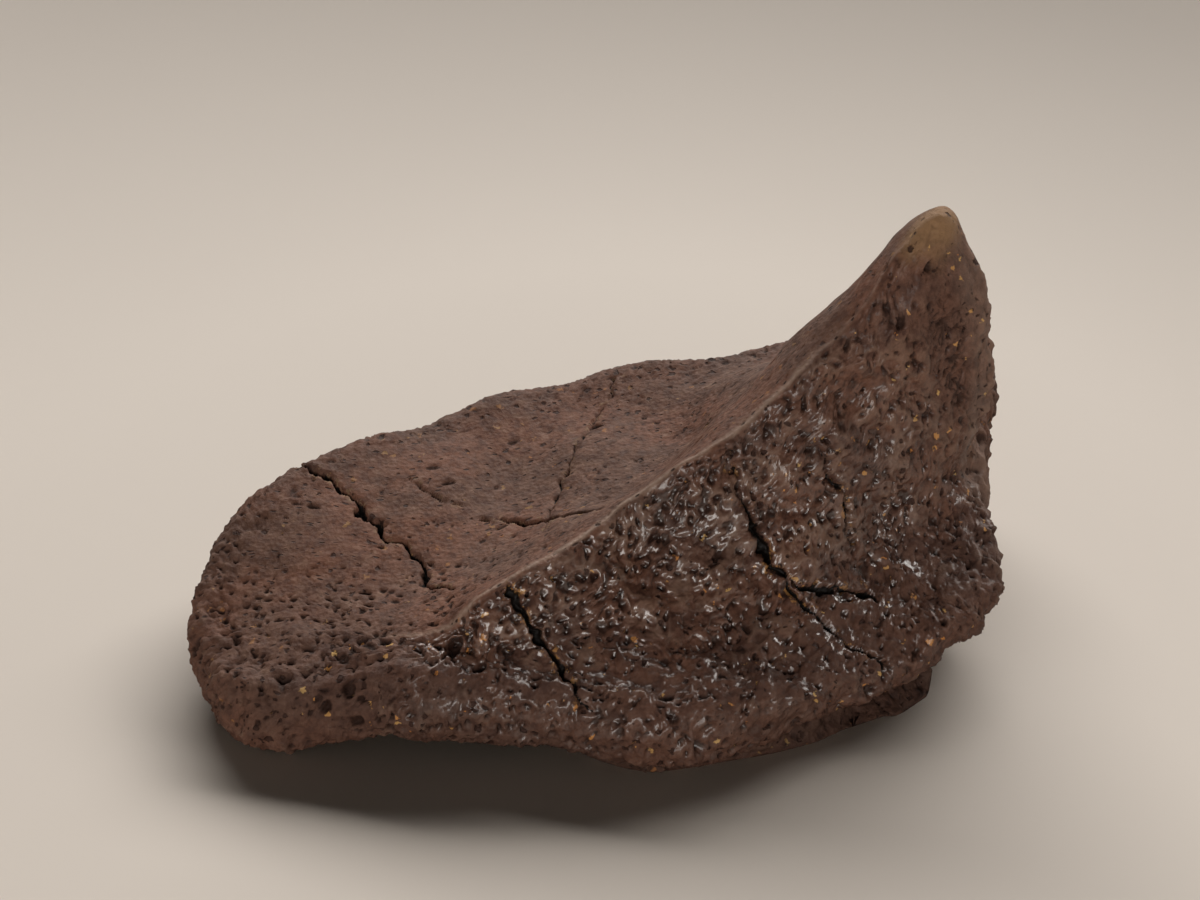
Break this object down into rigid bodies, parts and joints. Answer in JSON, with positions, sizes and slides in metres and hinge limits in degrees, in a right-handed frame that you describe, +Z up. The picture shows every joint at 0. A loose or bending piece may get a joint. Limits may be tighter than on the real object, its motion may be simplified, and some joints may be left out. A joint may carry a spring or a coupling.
{
  "type": "fossil ankylosaur scute",
  "caption": "Fossil skin-armour bone: an oval plate with a rolled rim, a keel that sweeps up into a horn, pits, cracks and a hollow underside.",
  "frame": {"origin": "middle of the plate's outline on the surface that the worn feet stand on", "axes": "+X along the plate from its low round end towards the horn, +Y to the back, away from the pitted face, +Z up"},
  "size_m": [0.1516, 0.1041, 0.0793],
  "materials": {
    "fossil_bone": "mineralised fossil bone, dark reddish brown stone: matt and finely striated behind the keel, pitted with a thin glossy lacquer in front of it, tan at the horn's tip, ochre specks in the cracks"
  },
  "bodies": {
    "root": {"scute": "fossil_bone"}
  },
  "joints": []
}
